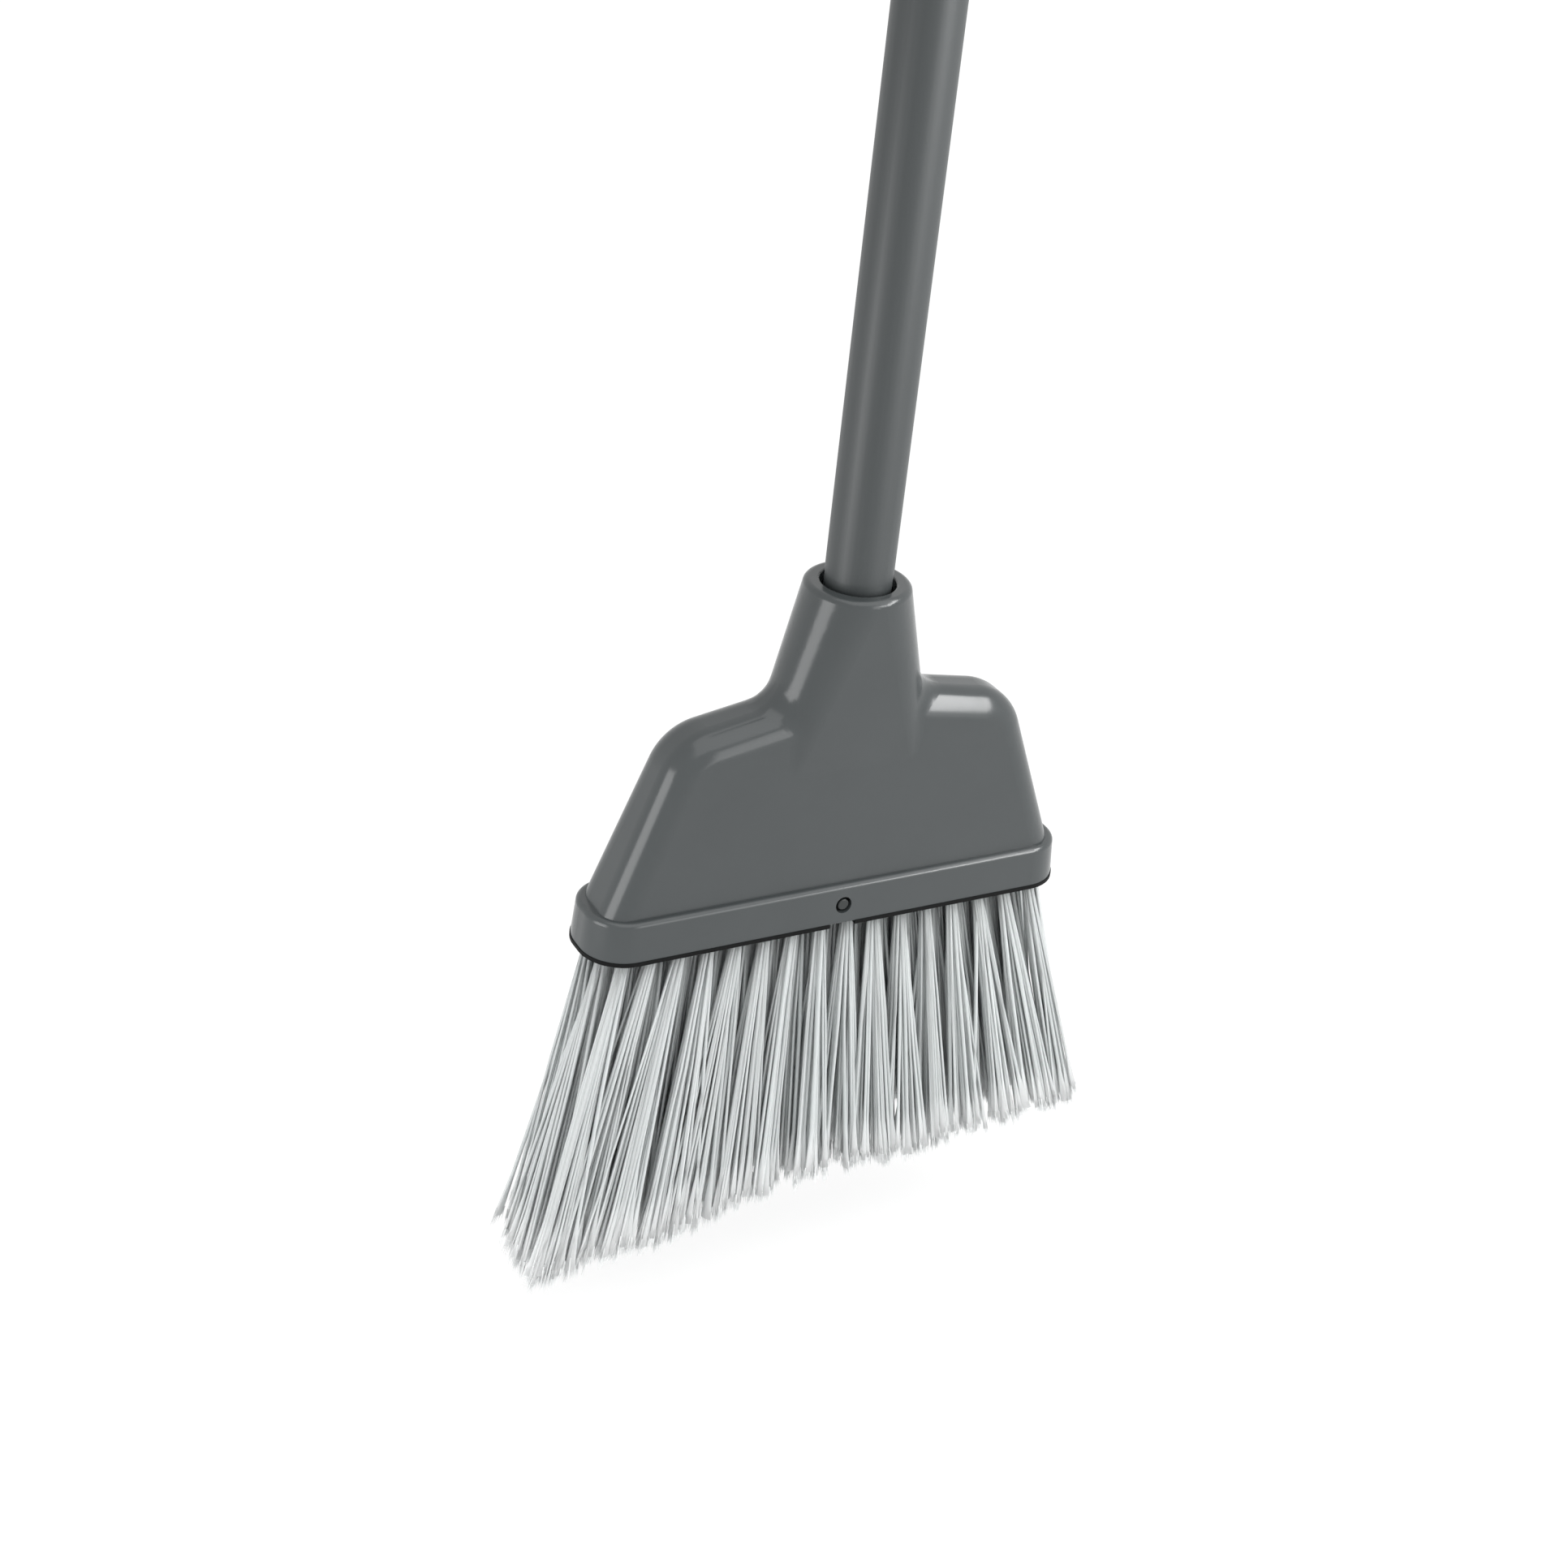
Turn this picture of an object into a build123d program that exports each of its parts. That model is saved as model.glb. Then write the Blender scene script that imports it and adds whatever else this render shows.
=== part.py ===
from build123d import *
import math
import os

# Angle broom: a hollow moulded cap with a bristle block pinned into its skirt, on a threaded tube handle.
# Sizes are millimetres and angles are degrees. +Z runs up the handle, +X along the head, -Y to the front.
# Everything is modelled with Z = 0 at the socket mouth, and lowered at the end so that the origin is
# the centre of the hang hole.

# Cap: body
WALL = 2.5
BODY_DROP = 120.0
FLANK_LEAN = 21.05
FACE_DRAFT = 1.77
SHOULDER_DROP = 52.5
SHOULDER_SLOPE = 10.5
SHOULDER_ROUND = 24.0
RIDGE_FLAT = 44.0
RIDGE_ROUND = 120.0
EDGE_ROUND = 10.5
EDGE_FLAT = 0.4
RIB_THICKNESS = 2.0
RIB_SPACING = 32.0

# Cap: neck and socket
MOUTH_GAP = 1.8
MOUTH_ROUND = 0.8
LEAD_IN = 3.0
RIM_WALL = 5.3
RIM_ROUND = 2.4
NECK_FLARE = 14.2
NECK_LEAN = 4.767
NECK_SINK = 1.0
NECK_FLAT = 0.4
NECK_BLEND = 14.0
SOCKET_DEPTH = 40.0
SOCKET_GAP = 0.9
SOCKET_WALL = 3.2

# Cap: skirt band round the bottom
BAND_LENGTH = 205.6
BAND_DEPTH = 38.0
BAND_HEIGHT = 15.8
BAND_END_FLAT = 4.8
BAND_DRAFT = 1.3
BAND_TOP_ROUND = 2.0
BAND_WALL = 2.6
BAND_ROOF = 3.3
LEDGE_END = 4.1
LEDGE_SIDE = 2.5

# Bristle block and its lock pins
BLOCK_GAP = 0.3
FLANGE_THICKNESS = 1.6
FLANGE_PROUD = 0.3
NOTCH_WIDTH = 11.0
POCKET_RIM = 1.2
PIN_HOLE_R = 3.4
PIN_R = 2.3
PIN_DROP = 5.1
PIN_END_WALL = 1.8
PIN_SINK = 0.2
PIN_ROUND = 0.5

# Bristles
ROWS = ("front", "front_mid", "middle", "rear_mid", "rear")
ROW_MARGIN = 0.7
TUFT_PITCH = 11.8
TUFT_END_MARGIN = 10.0
TUFT_HOLE_R = 2.4
TUFT_HOLE_ROOF = 2.5
TUFT_GAP = 0.1
ANCHOR_WIDTH = 6.6
ANCHOR_THICKNESS = 0.5
ANCHOR_HEIGHT = 1.6
SLICE_GAP = 0.1
STRANDS_PER_TUFT = 6
STRAND_WIDTH = 1.0
STRAND_RING_R = 1.45
STRAND_SPLAY_R = 4.5
END_LEAN = 12.0
ROW_LEAN = 7.0
BRISTLE_LENGTH = 121.0
TRIM_ANGLE = 6.87

# Handle
TUBE_R = 12.3
TUBE_WALL = 0.7
TUBE_LENGTH = 1140.0
SLEEVE_WALL = 0.38
SLEEVE_TUCK_WALL = 0.2
SLEEVE_TUCK_RISE = 3.0
FIT_GAP = 0.02
TIP_FLANGE = 3.0
TIP_PLUG_LENGTH = 30.0
THREAD_PITCH = 5.08
THREAD_TURNS = 5
THREAD_CORE_R = 7.7
THREAD_DEPTH = 1.6
THREAD_CREST_WIDTH = 1.5
THREAD_FLANK_ANGLE = 15.0
THREAD_SINK = 0.2
THREAD_RUNOUT = 3.0
THREAD_GAP = 0.4
GROOVE_TURNS_BELOW = 0.25
GROOVE_TURNS_ABOVE = 1.0
THREAD_END_CHAMFER = 1.5
RIVET_R = 1.5
RIVET_LENGTH = 6.0
RIVET_RISE = 15.0

# Hang cap, which swivels on a plug in the top of the tube
PLUG_LENGTH = 22.0
PLUG_FLANGE = 2.0
POST_R = 4.5
POST_HEIGHT = 9.0
POST_LIP = 1.3
POST_HEAD_HEIGHT = 3.0
SWIVEL_GAP = 0.3
HANG_STEP = 0.6
HANG_BASE_HEIGHT = 13.0
HANG_TAPER_HEIGHT = 11.0
HANG_TAPER_ROUND = 9.0
HANG_BLADE_DEPTH = 9.0
HANG_HOLE_R = 4.5
HANG_WEB = 4.7
HANG_EDGE_ROUND = 0.8

# Levels, from the socket mouth
base_z = -BODY_DROP
band_z = base_z - BAND_HEIGHT
block_top_z = base_z - BAND_ROOF
anchor_high_z = block_top_z - TUFT_HOLE_ROOF
anchor_low_z = anchor_high_z - ANCHOR_HEIGHT
root_z = band_z - FLANGE_THICKNESS
seat_z = -SOCKET_DEPTH
thread_high_z = seat_z - THREAD_RUNOUT
thread_low_z = thread_high_z - THREAD_TURNS * THREAD_PITCH
tip_low_z = thread_low_z - THREAD_RUNOUT
bore_low_z = tip_low_z - THREAD_RUNOUT / 2
tube_low_z = seat_z + TIP_FLANGE
tube_high_z = tube_low_z + TUBE_LENGTH
plug_top_z = tube_high_z + PLUG_FLANGE
post_top_z = plug_top_z + POST_HEIGHT
hang_base_z = plug_top_z + SWIVEL_GAP
taper_z = hang_base_z + HANG_BASE_HEIGHT
blade_z = taper_z + HANG_TAPER_HEIGHT
hang_hole_z = blade_z + HANG_WEB + HANG_EDGE_ROUND + HANG_HOLE_R

# Widths that follow from those above
sleeve_r = TUBE_R + SLEEVE_WALL
bore_r = TUBE_R - TUBE_WALL
mouth_r = TUBE_R + SLEEVE_TUCK_WALL + MOUTH_GAP
socket_r = TUBE_R + SLEEVE_TUCK_WALL + SOCKET_GAP
rim_r = mouth_r + RIM_WALL
crest_r = THREAD_CORE_R + THREAD_DEPTH
rivet_x = math.sqrt(TUBE_R**2 - RIVET_R**2)
cap_r = sleeve_r - HANG_STEP
band_corner = (BAND_DEPTH - BAND_END_FLAT) / 2
body_length = BAND_LENGTH - 2 * (BAND_DRAFT + LEDGE_END)
body_depth = BAND_DEPTH - 2 * (BAND_DRAFT + LEDGE_SIDE)
core_inset = BAND_WALL + BLOCK_GAP
pocket_inset = core_inset + POCKET_RIM
row_pitch = (BAND_DEPTH / 2 - pocket_inset - ROW_MARGIN - TUFT_HOLE_R) / (len(ROWS) // 2)
pin_z = block_top_z - PIN_DROP
pin_face_y = BAND_DEPTH / 2 - BAND_DRAFT * (pin_z - band_z) / BAND_HEIGHT
pin_length = pin_face_y - PIN_SINK - row_pitch - TUFT_HOLE_R - PIN_END_WALL
outer_row_tufts = int((BAND_LENGTH - 2 * (pocket_inset + TUFT_END_MARGIN)) / TUFT_PITCH) + 1

# Where a form stands on its place, how near two numbers are taken as one, how far a cut runs past an end
UP = (Align.CENTER, Align.CENTER, Align.MIN)
TOUCH = 0.01
OVERCUT = 2.5


def slope(angle):
    """Run over rise of a lean in degrees."""
    return math.tan(math.radians(angle))


def rod(radius, low, high):
    """An upright cylinder on the handle axis between two levels."""
    return Pos(0, 0, low) * Cylinder(radius, high - low, align=UP)


def band_outline(inset, z):
    """The band's rounded outline at a level, drawn in by inset."""
    length = BAND_LENGTH - 2 * inset
    depth = BAND_DEPTH - 2 * inset
    return Pos(0, 0, z) * RectangleRounded(length, depth, band_corner - inset)


def slab(inset, low, high):
    """An upright block with the band's outline drawn in by inset."""
    return extrude(band_outline(inset, low), high - low)


def circles_of(shape, radius):
    """The round edges of a shape that have a radius."""
    rounds = shape.edges().filter_by(GeomType.CIRCLE)
    return rounds.filter_by(lambda edge: math.isclose(edge.radius, radius, abs_tol=TOUCH))


# Cap

def half_depth(z, inset=0.0):
    """Half of the body's depth at a level; the front and back faces lean in towards the top."""
    return body_depth / 2 - (z - base_z) * slope(FACE_DRAFT) - inset / math.cos(math.radians(FACE_DRAFT))


def flank_x(z, inset=0.0):
    """Where the flank stands at a level."""
    return body_length / 2 - (z - base_z) * slope(FLANK_LEAN) - inset / math.cos(math.radians(FLANK_LEAN))


def shoulder_z(x, inset=0.0):
    """The shoulder's level at a distance from the handle axis."""
    rise = (flank_x(-SHOULDER_DROP) - x) * slope(SHOULDER_SLOPE)
    return rise - SHOULDER_DROP - inset / math.cos(math.radians(SHOULDER_SLOPE))


def shoulder_corner(inset=0.0):
    """The point where flank and shoulder meet before it is rounded."""
    run = slope(FLANK_LEAN)
    rise = slope(SHOULDER_SLOPE)
    x = (flank_x(0, inset) - shoulder_z(0, inset) * run) / (1 - run * rise)
    return x, shoulder_z(x, inset)


def corners_at(face, x):
    """The corners of a flat outline that stand at a distance from the handle axis, on both sides."""
    return face.vertices().filter_by(lambda corner: math.isclose(abs(corner.X), x, abs_tol=TOUCH))


def cap_body(inset, floor_z):
    """The body's form, drawn in from its outside by inset and standing on floor_z."""
    corner_x, corner_z = shoulder_corner(inset)
    ridge_x = RIDGE_FLAT / 2
    ridge_z = shoulder_z(ridge_x, inset)
    floor_x = flank_x(floor_z, inset)
    right = [(ridge_x, ridge_z), (corner_x, corner_z), (floor_x, floor_z)]
    left = [(-x, z) for x, z in reversed(right)]
    front = make_face(Polyline(*right, *left, close=True))
    front = fillet(corners_at(front, corner_x), SHOULDER_ROUND - inset)
    front = fillet(corners_at(front, ridge_x), RIDGE_ROUND - inset)
    top_y = half_depth(ridge_z, inset)
    low_y = half_depth(floor_z, inset)
    half = [(low_y, floor_z), (top_y, ridge_z)]
    side = make_face(Polyline(*half, *[(-y, z) for y, z in reversed(half)], close=True))
    body = extrude(Plane.XZ * front, low_y * 2, both=True) & extrude(Plane.YZ * side, floor_x * 2, both=True)
    faces = body.faces().sort_by(Axis.Y)
    outline = (faces[0].edges() + faces[-1].edges()).filter_by(lambda e: e.center().Z > floor_z + WALL)
    return fillet(outline, min(EDGE_ROUND - inset, top_y - EDGE_FLAT))


def cap_neck():
    """The neck, round at the rim, spreading into the shoulders and leaning in until it is under the faces."""
    run = (rim_r - half_depth(0, NECK_SINK)) / (slope(NECK_LEAN) + slope(FACE_DRAFT))
    low_x = rim_r + run * slope(NECK_FLARE)
    low_y = rim_r - run * slope(NECK_LEAN)
    rim = SlotOverall(2 * rim_r + NECK_FLAT, 2 * rim_r)
    foot = Pos(0, 0, -run) * SlotOverall(2 * low_x, 2 * low_y)
    return loft([rim, foot], ruled=True)


def cap_outside():
    """The body with the neck blended in and the skirt band round the bottom."""
    body = cap_body(0, base_z - BAND_DRAFT)
    neck = cap_neck()
    joined = body + neck
    joined = fillet(new_edges(body, neck, combined=joined), NECK_BLEND)
    joined = fillet(joined.faces().sort_by(Axis.Z)[-1].edges(), RIM_ROUND)
    band = loft([band_outline(0, band_z), band_outline(BAND_DRAFT, base_z)], ruled=True)
    band = fillet(band.faces().sort_by(Axis.Z)[-1].edges(), BAND_TOP_ROUND)
    return joined + band


def socket_bore():
    """The socket's bore, which widens over a short lead-in to the mouth and runs on past it."""
    widening = (mouth_r - socket_r) / LEAD_IN
    lead_in = Cone(socket_r, mouth_r + widening * OVERCUT, LEAD_IN + OVERCUT, align=UP)
    return rod(socket_r, seat_z, -LEAD_IN) + Pos(0, 0, -LEAD_IN) * lead_in


def thread(gap, low, high, turns_below, turns_above):
    """A right-hand threaded rod, grown by gap, whose turns run past the tip's own by the given amounts."""
    top_r = crest_r + gap
    foot_r = THREAD_CORE_R + gap - THREAD_SINK
    crest_width = THREAD_CREST_WIDTH + 2 * gap
    foot_width = crest_width + 2 * (top_r - foot_r) * slope(THREAD_FLANK_ANGLE)
    middle_r = (foot_r + top_r) / 2
    turns = THREAD_TURNS + turns_below + turns_above
    path = Helix(THREAD_PITCH, turns * THREAD_PITCH, middle_r)
    section = Plane(origin=path @ 0, x_dir=(1, 0, 0), z_dir=path % 0)
    profile = make_face(
        Polyline(
            (foot_r - middle_r, -foot_width / 2),
            (top_r - middle_r, -crest_width / 2),
            (top_r - middle_r, crest_width / 2),
            (foot_r - middle_r, foot_width / 2),
            close=True,
        )
    )
    ridge = sweep(section * profile, path=path, is_frenet=True)
    start = Pos(0, 0, thread_low_z - turns_below * THREAD_PITCH) * Rot(0, 0, -360 * turns_below)
    return rod(THREAD_CORE_R + gap, low, high) + start * ridge


def pin_axis(side):
    """The line of a lock pin, from the skirt's face inwards; side is -1 at the front and 1 at the rear."""
    return Plane(origin=(0, side * pin_face_y, pin_z), x_dir=(1, 0, 0), z_dir=(0, -side, 0))


def cap_shell():
    """The whole moulded cap: hollow, ribbed, with the threaded socket and the lock pin holes."""
    hollow = cap_body(WALL, block_top_z)
    rib_x = [side * step * RIB_SPACING for side in (-1, 1) for step in (1, 2)]
    ribs = [Pos(x, 0, block_top_z) * Box(RIB_THICKNESS, BAND_DEPTH, BODY_DROP, align=UP) for x in rib_x]
    socket = rod(mouth_r + SOCKET_WALL, seat_z - SOCKET_WALL, 0)
    thread_tube = rod(crest_r + THREAD_GAP + SOCKET_WALL, bore_low_z - SOCKET_WALL, seat_z)
    hollow = hollow - [socket, thread_tube, *ribs]
    recess = slab(BAND_WALL, band_z - OVERCUT, block_top_z)
    holes = [pin_axis(side) * Cylinder(PIN_HOLE_R, 2 * (BAND_WALL + BLOCK_GAP)) for side in (-1, 1)]
    groove = thread(THREAD_GAP, bore_low_z, seat_z + OVERCUT, GROOVE_TURNS_BELOW, GROOVE_TURNS_ABOVE)
    shell = cap_outside() - [hollow, recess, socket_bore(), *holes]
    shell = shell - groove
    return fillet(circles_of(shell, mouth_r).sort_by(Axis.Z)[-1], MOUTH_ROUND)


# Bristle block, pins, anchors and tufts

def row_y(row):
    """A row's place from front to back."""
    return (ROWS.index(row) - len(ROWS) // 2) * row_pitch


def tuft_places(row):
    """The tufts of a row; every second row is staggered and has one more."""
    count = outer_row_tufts + ROWS.index(row) % 2
    return [((i - (count - 1) / 2) * TUFT_PITCH, row_y(row)) for i in range(count)]


def lock_pin(side):
    """A plug pushed through the band into the block, a little below the band's face."""
    pin = Pos(0, 0, PIN_SINK) * Cylinder(PIN_R, pin_length, align=UP)
    return pin_axis(side) * fillet(pin.edges().sort_by(Axis.Z)[0], PIN_ROUND)


def bristle_block():
    """The block that fills the band, with its lip, its tuft holes and the slots for the anchors."""
    core = slab(core_inset, band_z, block_top_z)
    lip = slab(-FLANGE_PROUD, root_z, band_z)
    cuts = [slab(pocket_inset, root_z, band_z)]
    for side in (-1, 1):
        cuts.append(pin_axis(side) * Cylinder(PIN_R + FIT_GAP, 2 * (pin_length + PIN_SINK + FIT_GAP)))
        notch_y = side * (BAND_DEPTH - core_inset)
        cuts.append(Pos(0, notch_y, root_z) * Box(NOTCH_WIDTH, BAND_DEPTH, FLANGE_THICKNESS, align=UP))
    slot = Box(ANCHOR_WIDTH + 2 * FIT_GAP, ANCHOR_THICKNESS + 2 * FIT_GAP, ANCHOR_HEIGHT, align=UP)
    for x, y in [place for row in ROWS for place in tuft_places(row)]:
        cuts.append(Pos(x, y, 0) * rod(TUFT_HOLE_R, band_z, anchor_high_z))
        cuts.append(Pos(x, y, anchor_low_z) * slot)
    return core + lip - cuts


def tuft_anchors(row):
    """The flat wires that hold a row's tufts at the bottom of their holes."""
    wire = Box(ANCHOR_WIDTH, ANCHOR_THICKNESS, ANCHOR_HEIGHT, align=UP)
    return Compound(children=[Pos(x, y, anchor_low_z) * wire for x, y in tuft_places(row)])


def strand(tuft_x, tuft_y, turn):
    """One straight square strand of a tuft, cut off at the slanted trim."""
    around_x = STRAND_RING_R * math.cos(turn)
    around_y = STRAND_RING_R * math.sin(turn)
    splay = (STRAND_SPLAY_R / STRAND_RING_R - 1) / BRISTLE_LENGTH
    end_x, side_y = tuft_places(ROWS[0])[-1][0], row_y(ROWS[-1])
    lean_x = slope(END_LEAN) * tuft_x / end_x + splay * around_x
    lean_y = slope(ROW_LEAN) * tuft_y / side_y + splay * around_y
    x, y = tuft_x + around_x, tuft_y + around_y
    length = (BRISTLE_LENGTH - slope(TRIM_ANGLE) * x) / (1 + slope(TRIM_ANGLE) * lean_x)
    root = Pos(x, y, root_z) * Rectangle(STRAND_WIDTH, STRAND_WIDTH)
    return Solid.extrude(root.face(), Vector(lean_x, lean_y, -1) * length)


def row_backing(row):
    """The slice of the block's underside that a row stands on; the outer rows have the rest of the depth."""
    index = ROWS.index(row)
    low_y, high_y = -BAND_DEPTH / 2, BAND_DEPTH / 2
    if index > 0:
        low_y = row_y(row) - (row_pitch - SLICE_GAP) / 2
    if index < len(ROWS) - 1:
        high_y = row_y(row) + (row_pitch - SLICE_GAP) / 2
    strip = Box(BAND_LENGTH, high_y - low_y, FLANGE_THICKNESS, align=UP)
    return slab(pocket_inset + SLICE_GAP, root_z, band_z) & Pos(0, (low_y + high_y) / 2, root_z) * strip


def tuft_row(row):
    """A row of tufts on its backing, each with a plug that fills its hole up to the anchor."""
    pieces = []
    for tuft_x, tuft_y in tuft_places(row):
        pieces.append(Pos(tuft_x, tuft_y, 0) * rod(TUFT_HOLE_R - TUFT_GAP, band_z, anchor_low_z))
        for i in range(STRANDS_PER_TUFT):
            pieces.append(strand(tuft_x, tuft_y, (i + 0.5) * 2 * math.pi / STRANDS_PER_TUFT))
    return row_backing(row) + pieces


# Handle

def handle_tube():
    """The steel tube, with holes for the tip's rivets."""
    holes = [rivet_axis(side) * Cylinder(RIVET_R + FIT_GAP, RIVET_LENGTH) for side in (-1, 1)]
    return rod(TUBE_R, tube_low_z, tube_high_z) - [rod(bore_r, tube_low_z, tube_high_z), *holes]


def vinyl_sleeve():
    """The covering over the whole tube, drawn thinner where it goes into the socket."""
    tucked = rod(TUBE_R + SLEEVE_TUCK_WALL, tube_low_z, SLEEVE_TUCK_RISE)
    bare = rod(sleeve_r, SLEEVE_TUCK_RISE, tube_high_z)
    return tucked + bare - rod(TUBE_R + FIT_GAP, tube_low_z, tube_high_z)


def rivet_axis(side):
    """The line of a tip rivet, from where the rivet's rim is flush with the tube inwards."""
    return Plane(origin=(side * rivet_x, 0, tube_low_z + RIVET_RISE), x_dir=(0, 1, 0), z_dir=(-side, 0, 0))


def tip_rivets():
    """The two rivets that hold the tip in the tube, flush with the tube under the sleeve."""
    rivet = Cylinder(RIVET_R, RIVET_LENGTH, align=UP)
    return Compound(children=[rivet_axis(side) * rivet for side in (-1, 1)])


def threaded_tip():
    """The moulded tip: a plug in the tube, a flange that seats in the socket, and the thread."""
    screw = thread(0, tip_low_z, seat_z, 0, 0)
    screw = chamfer(screw.faces().sort_by(Axis.Z)[0].edges(), THREAD_END_CHAMFER)
    plug = rod(bore_r - FIT_GAP, tube_low_z, tube_low_z + TIP_PLUG_LENGTH)
    holes = [rivet_axis(side) * Cylinder(RIVET_R + FIT_GAP, 2 * (RIVET_LENGTH + FIT_GAP)) for side in (-1, 1)]
    return screw + [rod(TUBE_R, seat_z, tube_low_z), plug] - holes


def top_plug():
    """The plug in the top of the tube, with the snap post that the hang cap turns on."""
    body = rod(bore_r - FIT_GAP, tube_high_z - PLUG_LENGTH, tube_high_z)
    head = rod(POST_R + POST_LIP, post_top_z - POST_HEAD_HEIGHT, post_top_z)
    head = chamfer(head.edges().sort_by(Axis.Z)[-1], POST_LIP)
    return body + [rod(cap_r, tube_high_z, plug_top_z), rod(POST_R, plug_top_z, post_top_z), head]


def hang_cap():
    """The end cap, round at the tube and flattened to a blade with the hang hole."""
    top_z = hang_hole_z + cap_r
    blade_y = HANG_BLADE_DEPTH / 2
    half = [(cap_r, hang_base_z), (cap_r, taper_z), (blade_y, blade_z), (blade_y, top_z)]
    side = make_face(Polyline(*half, *[(-y, z) for y, z in reversed(half)], close=True))
    bends = side.vertices().filter_by(lambda corner: hang_base_z < corner.Y - TOUCH < blade_z)
    side = fillet(bends, HANG_TAPER_ROUND)
    rise = hang_hole_z - hang_base_z
    front = Pos(0, hang_hole_z) * Circle(cap_r)
    front = front + Pos(0, hang_hole_z - rise / 2) * Rectangle(2 * cap_r, rise)
    form = rod(cap_r, hang_base_z, top_z) & extrude(Plane.YZ * side, cap_r, both=True)
    form = form & extrude(Plane.XZ * front, cap_r, both=True)
    hole = Plane(origin=(0, 0, hang_hole_z), z_dir=(0, 1, 0)) * Cylinder(HANG_HOLE_R, 2 * HANG_BLADE_DEPTH)
    lip_z = post_top_z - POST_HEAD_HEIGHT - SWIVEL_GAP
    neck = rod(POST_R + SWIVEL_GAP, hang_base_z, lip_z)
    chamber = rod(POST_R + POST_LIP + SWIVEL_GAP, lip_z, post_top_z + SWIVEL_GAP)
    form = form - [hole, neck, chamber]
    rims = circles_of(form, HANG_HOLE_R).filter_by(lambda rim: rim.arc_center.Z > blade_z)
    return fillet(rims, HANG_EDGE_ROUND)


def build():
    """All nodes by name, about the socket mouth."""
    nodes = {
        "cap_shell": cap_shell(),
        "bristle_block": bristle_block(),
        "lock_pin_front": lock_pin(-1),
        "lock_pin_rear": lock_pin(1),
        "handle_tube": handle_tube(),
        "vinyl_sleeve": vinyl_sleeve(),
        "threaded_tip": threaded_tip(),
        "tip_rivets": tip_rivets(),
        "top_plug": top_plug(),
        "hang_cap": hang_cap(),
    }
    for row in ROWS:
        nodes["tuft_row_" + row] = tuft_row(row)
        nodes["tuft_anchors_" + row] = tuft_anchors(row)
    return nodes


os.makedirs("parts", exist_ok=True)
for name, shape in build().items():
    export_step(Pos(0, 0, -hang_hole_z) * shape, f"parts/{name}.step")
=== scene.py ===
"""Angle broom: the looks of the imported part, in metres and in the part's own frame.

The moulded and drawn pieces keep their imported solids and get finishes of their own. The tuft rows are
replaced by rows of flagged filaments, and the strips that they stand on by one bed under the block.
"""

import logging
import math
from dataclasses import dataclass, field
from enum import Enum

import bmesh
import bpy
import numpy as np
from mathutils import Matrix, Vector


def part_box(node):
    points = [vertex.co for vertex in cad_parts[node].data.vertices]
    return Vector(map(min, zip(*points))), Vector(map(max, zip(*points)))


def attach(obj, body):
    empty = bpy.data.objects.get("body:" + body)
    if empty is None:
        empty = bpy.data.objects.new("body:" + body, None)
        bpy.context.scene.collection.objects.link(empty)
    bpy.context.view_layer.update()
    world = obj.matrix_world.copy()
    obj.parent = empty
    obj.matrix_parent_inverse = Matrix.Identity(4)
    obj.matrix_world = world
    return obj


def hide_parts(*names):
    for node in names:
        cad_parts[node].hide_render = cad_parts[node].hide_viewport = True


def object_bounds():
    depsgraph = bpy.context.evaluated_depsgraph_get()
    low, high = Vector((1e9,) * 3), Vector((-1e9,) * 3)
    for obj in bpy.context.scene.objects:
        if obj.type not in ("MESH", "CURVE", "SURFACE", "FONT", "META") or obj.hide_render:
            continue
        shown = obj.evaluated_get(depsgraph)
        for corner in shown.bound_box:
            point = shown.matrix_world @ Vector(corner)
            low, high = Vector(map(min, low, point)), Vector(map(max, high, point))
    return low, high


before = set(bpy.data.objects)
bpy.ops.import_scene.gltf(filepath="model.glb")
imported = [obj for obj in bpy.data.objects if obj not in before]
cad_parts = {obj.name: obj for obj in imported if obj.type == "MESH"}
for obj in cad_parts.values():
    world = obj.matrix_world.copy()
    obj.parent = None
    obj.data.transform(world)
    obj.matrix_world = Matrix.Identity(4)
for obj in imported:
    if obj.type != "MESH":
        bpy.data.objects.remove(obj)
CAD_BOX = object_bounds()

LOG = logging.getLogger("broom")
MM = 0.001
SEED = 33
# The turn from one filament of a bundle to the next that packs them evenly.
GOLDEN_TURN = math.pi * (3 - math.sqrt(5))
HEAD_CENTRE = (0.0, 0.0, -1.21)
WHITE = "#FFFFFF"


class Body(Enum):
    """The bodies of the part that new pieces ride on."""

    HEAD = "head"


class Row(Enum):
    """The five rows of tufts, from the front to the rear, and how each one leans."""

    FRONT = ("front", False, -0.123, 0.27, 0.28)
    FRONT_MID = ("front_mid", True, -0.07, 0.22, 0.25)
    MIDDLE = ("middle", False, -0.01, 0.165, 0.25)
    REAR_MID = ("rear_mid", True, 0.03, 0.12, 0.23)
    REAR = ("rear", False, 0.06, 0.085, 0.22)

    def __init__(self, label: str, staggered: bool, lean: float, left_lean: float, right_lean: float) -> None:
        """Take the row's values.

        Args:
            label: The row's name in the names of nodes and pieces.
            staggered: Whether the row stands half a pitch off and has one more tuft.
            lean: How far the row leans to the rear over its drop.
            left_lean: How far the last tuft at the left leans outwards over its drop.
            right_lean: How far the last tuft at the right leans outwards over its drop.
        """
        self.label = label
        self.staggered = staggered
        self.lean = lean
        self.left_lean = left_lean
        self.right_lean = right_lean

    @property
    def node(self) -> str:
        """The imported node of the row."""
        return "tuft_row_" + self.label

    @property
    def anchors(self) -> str:
        """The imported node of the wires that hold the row."""
        return "tuft_anchors_" + self.label

    @property
    def piece(self) -> str:
        """The name of the piece that stands for the row."""
        return "bristles_" + self.label


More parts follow.
